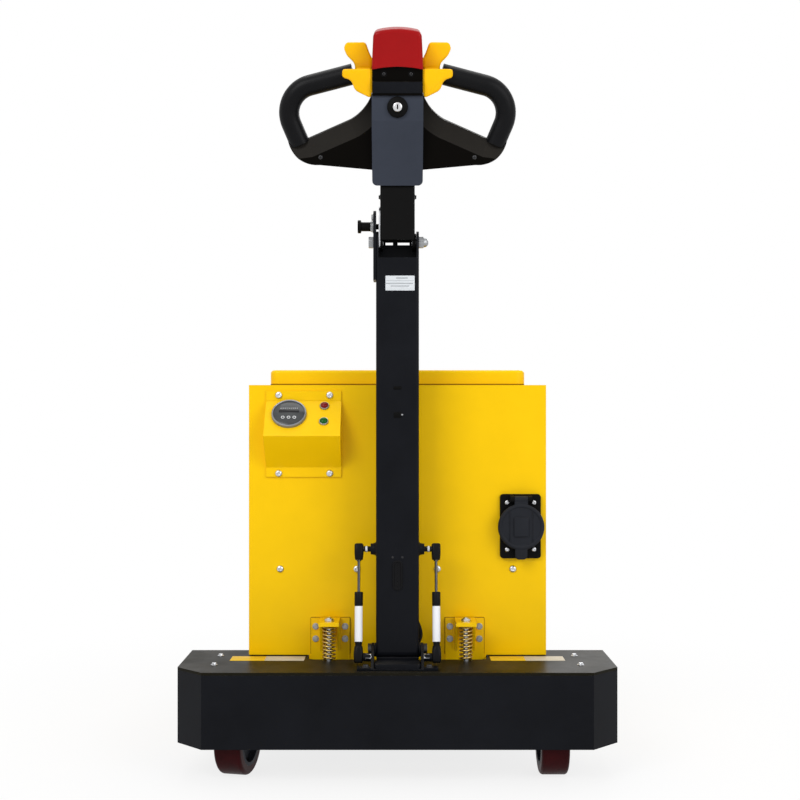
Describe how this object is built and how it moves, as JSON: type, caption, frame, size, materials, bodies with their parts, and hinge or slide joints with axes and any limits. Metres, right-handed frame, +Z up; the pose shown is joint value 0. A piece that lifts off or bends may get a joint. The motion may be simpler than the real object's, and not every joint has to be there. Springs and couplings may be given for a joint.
{
  "type": "walk-behind electric tow tug with folding tiller",
  "caption": "Pedestrian-controlled electric tug: yellow battery cabinet on a black castor base, drive wheels, tow pin and a folding tiller with a looped control head.",
  "frame": {"origin": "floor level, centred under the overall box", "axes": "+Z up, +X to the right seen by the operator who stands at -Y, +Y towards the tow hitch"},
  "size_m": [0.63, 0.8792, 1.0705],
  "materials": {
    "yellow_paint": "gloss powder coat",
    "black_paint": "satin powder coat",
    "chassis_paint": "matt primer black",
    "zinc": "bright zinc plated",
    "yellow_zinc": "yellow passivated zinc",
    "cast_drive": "as cast, painted grey",
    "rim_paint": "silver paint",
    "drive_tyre": "black rubber",
    "castor_hub": "dark moulded nylon",
    "polyurethane": "dark red polyurethane",
    "battery_case": "moulded case",
    "gauge": "grey dial under a clear window",
    "lamp_red": "clear red lens",
    "lamp_green": "clear green lens",
    "black_plastic": "fine moulded grain",
    "grey_plastic": "fine moulded grain",
    "grip_rubber": "smooth rubber",
    "red_plastic": "semi-gloss moulded",
    "yellow_plastic": "semi-gloss moulded",
    "key_metal": "nickel plated core",
    "gas_black": "black nitrided"
  },
  "bodies": {
    "chassis": {"cabinet_front": "yellow_paint", "cabinet_rear": "yellow_paint", "cabinet_top": "yellow_paint", "cabinet_left": "yellow_paint", "cabinet_right": "yellow_paint", "gauge_housing": "yellow_paint", "spring_brackets": "yellow_paint", "base_top_plate": "black_paint", "base_skirt": "black_paint", "tiller_bracket": "black_paint", "tow_hitch": "black_paint", "castor_beam": "chassis_paint", "chassis_plates": "chassis_paint", "rear_crossmember": "chassis_paint", "battery_tray": "chassis_paint", "bulkhead": "chassis_paint", "arm_pivot_bolts": "zinc", "lid_hinges": "zinc", "spring_bolts": "zinc", "tiller_pivot_pin": "zinc", "tow_pin": "zinc", "castor_plates": "zinc", "suspension_springs": "yellow_zinc", "drive_unit": "cast_drive", "batteries": "battery_case", "battery_gauge": "gauge", "lamp_red": "lamp_red", "lamp_green": "lamp_green", "charge_socket": "black_plastic"},
    "tiller": {"tiller_tube": "black_paint", "tiller_cable": "grip_rubber", "hinge_bolt": "zinc", "index_plate": "black_paint", "index_plunger": "black_plastic"},
    "handle": {"handle_shaft": "black_paint", "sector_plate": "zinc", "head_housing": "black_plastic", "head_cover": "grey_plastic", "hand_grips": "grip_rubber", "belly_button": "red_plastic", "throttle_paddles": "yellow_plastic", "key_switch": "key_metal"},
    "battery_lid": {"battery_lid": "yellow_paint"},
    "socket_flap": {"socket_flap": "black_plastic"},
    "castor_left": {"castor_fork_left": "zinc"},
    "castor_wheel_left": {"castor_hub_left": "castor_hub", "castor_tyre_left": "polyurethane"},
    "drive_wheel_left": {"drive_rim_left": "rim_paint", "drive_tyre_left": "drive_tyre"},
    "gas_cylinder_left": {"gas_cylinder_left": "gas_black"},
    "gas_rod_left": {"gas_rod_left": "gas_black"},
    "castor_right": {"castor_fork_right": "zinc"},
    "castor_wheel_right": {"castor_hub_right": "castor_hub", "castor_tyre_right": "polyurethane"},
    "drive_wheel_right": {"drive_rim_right": "rim_paint", "drive_tyre_right": "drive_tyre"},
    "gas_cylinder_right": {"gas_cylinder_right": "gas_black"},
    "gas_rod_right": {"gas_rod_right": "gas_black"}
  },
  "joints": [
    {"name": "tiller_tilt", "type": "hinge", "parent": "chassis", "child": "tiller", "pos_m": [0, -0.3454, 0.181], "axis": [1, 0, 0], "range_deg": [0, 75]},
    {"name": "handle_fold", "type": "hinge", "parent": "tiller", "child": "handle", "pos_m": [0, -0.3374, 0.772], "axis": [1, 0, 0], "range_deg": [0, 90]},
    {"name": "battery_lid_hinge", "type": "hinge", "parent": "chassis", "child": "battery_lid", "pos_m": [0, 0.0336, 0.572], "axis": [-1, 0, 0], "range_deg": [0, 95]},
    {"name": "socket_flap_hinge", "type": "hinge", "parent": "chassis", "child": "socket_flap", "pos_m": [0.184, -0.2967, 0.3955], "axis": [-1, 0, 0], "range_deg": [0, 110]},
    {"name": "castor_swivel_left", "type": "hinge", "parent": "chassis", "child": "castor_left", "pos_m": [-0.225, -0.3084, 0.11], "axis": [0, 0, 1], "continuous": true},
    {"name": "castor_roll_left", "type": "hinge", "parent": "castor_left", "child": "castor_wheel_left", "pos_m": [-0.23175, -0.33763, 0.05], "axis": [0.9744, -0.225, 0], "continuous": true},
    {"name": "drive_roll_left", "type": "hinge", "parent": "chassis", "child": "drive_wheel_left", "pos_m": [-0.172, 0.1586, 0.125], "axis": [1, 0, 0], "continuous": true},
    {"name": "gas_swing_left", "type": "hinge", "parent": "chassis", "child": "gas_cylinder_left", "pos_m": [-0.056, -0.3674, 0.174], "axis": [1, 0, 0], "range_deg": [0, 80]},
    {"name": "gas_slide_left", "type": "slide", "parent": "gas_cylinder_left", "child": "gas_rod_left", "axis": [0, 0.1936, 0.9811], "range_m": [-0.0295, 0]},
    {"name": "castor_swivel_right", "type": "hinge", "parent": "chassis", "child": "castor_right", "pos_m": [0.225, -0.3084, 0.11], "axis": [0, 0, 1], "continuous": true},
    {"name": "castor_roll_right", "type": "hinge", "parent": "castor_right", "child": "castor_wheel_right", "pos_m": [0.225, -0.3384, 0.05], "axis": [1, 0, 0], "continuous": true},
    {"name": "drive_roll_right", "type": "hinge", "parent": "chassis", "child": "drive_wheel_right", "pos_m": [0.172, 0.1586, 0.125], "axis": [1, 0, 0], "continuous": true},
    {"name": "gas_swing_right", "type": "hinge", "parent": "chassis", "child": "gas_cylinder_right", "pos_m": [0.056, -0.3674, 0.174], "axis": [1, 0, 0], "range_deg": [0, 80]},
    {"name": "gas_slide_right", "type": "slide", "parent": "gas_cylinder_right", "child": "gas_rod_right", "axis": [0, 0.1936, 0.9811], "range_m": [-0.0295, 0]}
  ],
  "couplings": [
    {"joint": "gas_swing_left", "follows": "tiller_tilt", "ratio": 0.99902},
    {"joint": "gas_slide_left", "follows": "tiller_tilt", "m_per_rad": -0.021896},
    {"joint": "gas_swing_right", "follows": "tiller_tilt", "ratio": 0.99902},
    {"joint": "gas_slide_right", "follows": "tiller_tilt", "m_per_rad": -0.021896}
  ]
}
